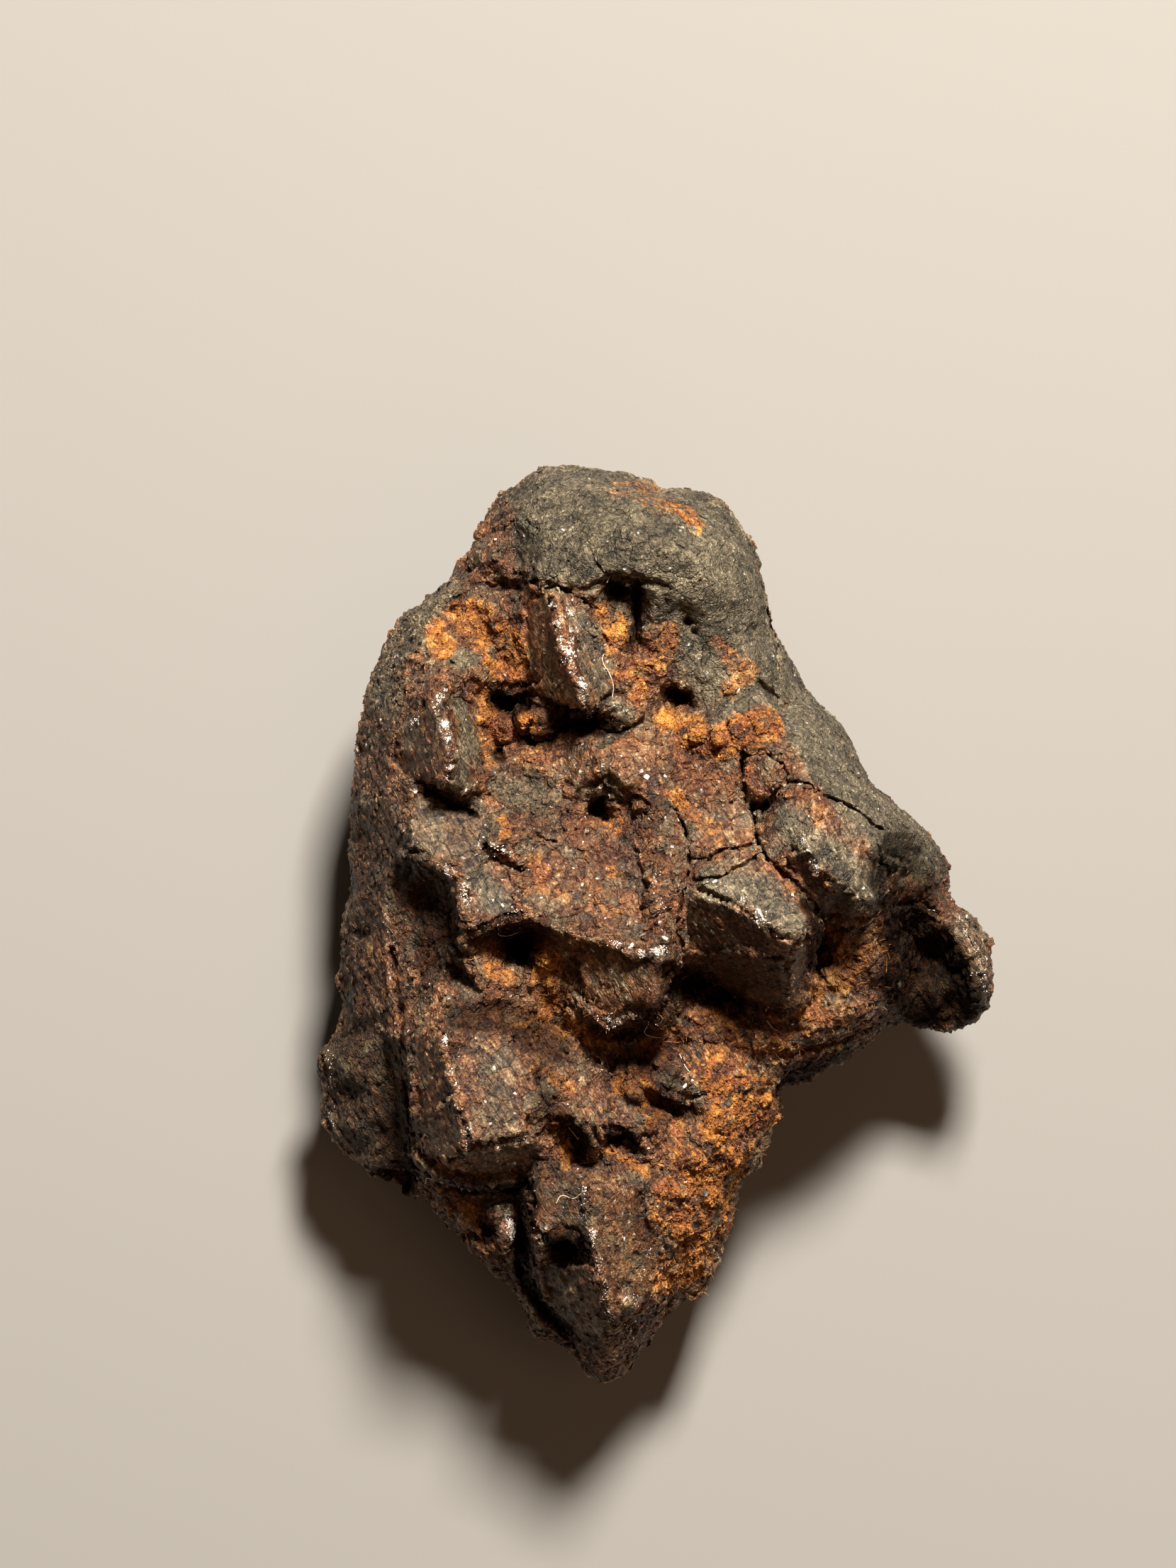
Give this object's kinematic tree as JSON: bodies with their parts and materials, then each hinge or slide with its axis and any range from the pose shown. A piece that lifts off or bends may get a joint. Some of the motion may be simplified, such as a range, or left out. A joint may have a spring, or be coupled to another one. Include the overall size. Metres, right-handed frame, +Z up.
{
  "type": "iron meteorite",
  "caption": "Rough wedge-shaped iron meteorite with melted scoops, stepped ledges, caves and cracks, a rounded head, a side arm and a pointed foot, resting on its flattest side.",
  "frame": {"origin": "on the table, under the middle of the stone's box", "axes": "+Z up, away from the table and towards the picture's viewer; +Y along the stone's length, from the pointed foot to the rounded head; +X towards the side arm"},
  "size_m": [0.028, 0.0382, 0.0174],
  "materials": {
    "weathered_iron": "rough dark brown iron oxide crust with rust in the hollows and bare worn metal on the sharpest ridges"
  },
  "bodies": {
    "root": {"meteorite": "weathered_iron"}
  },
  "joints": []
}
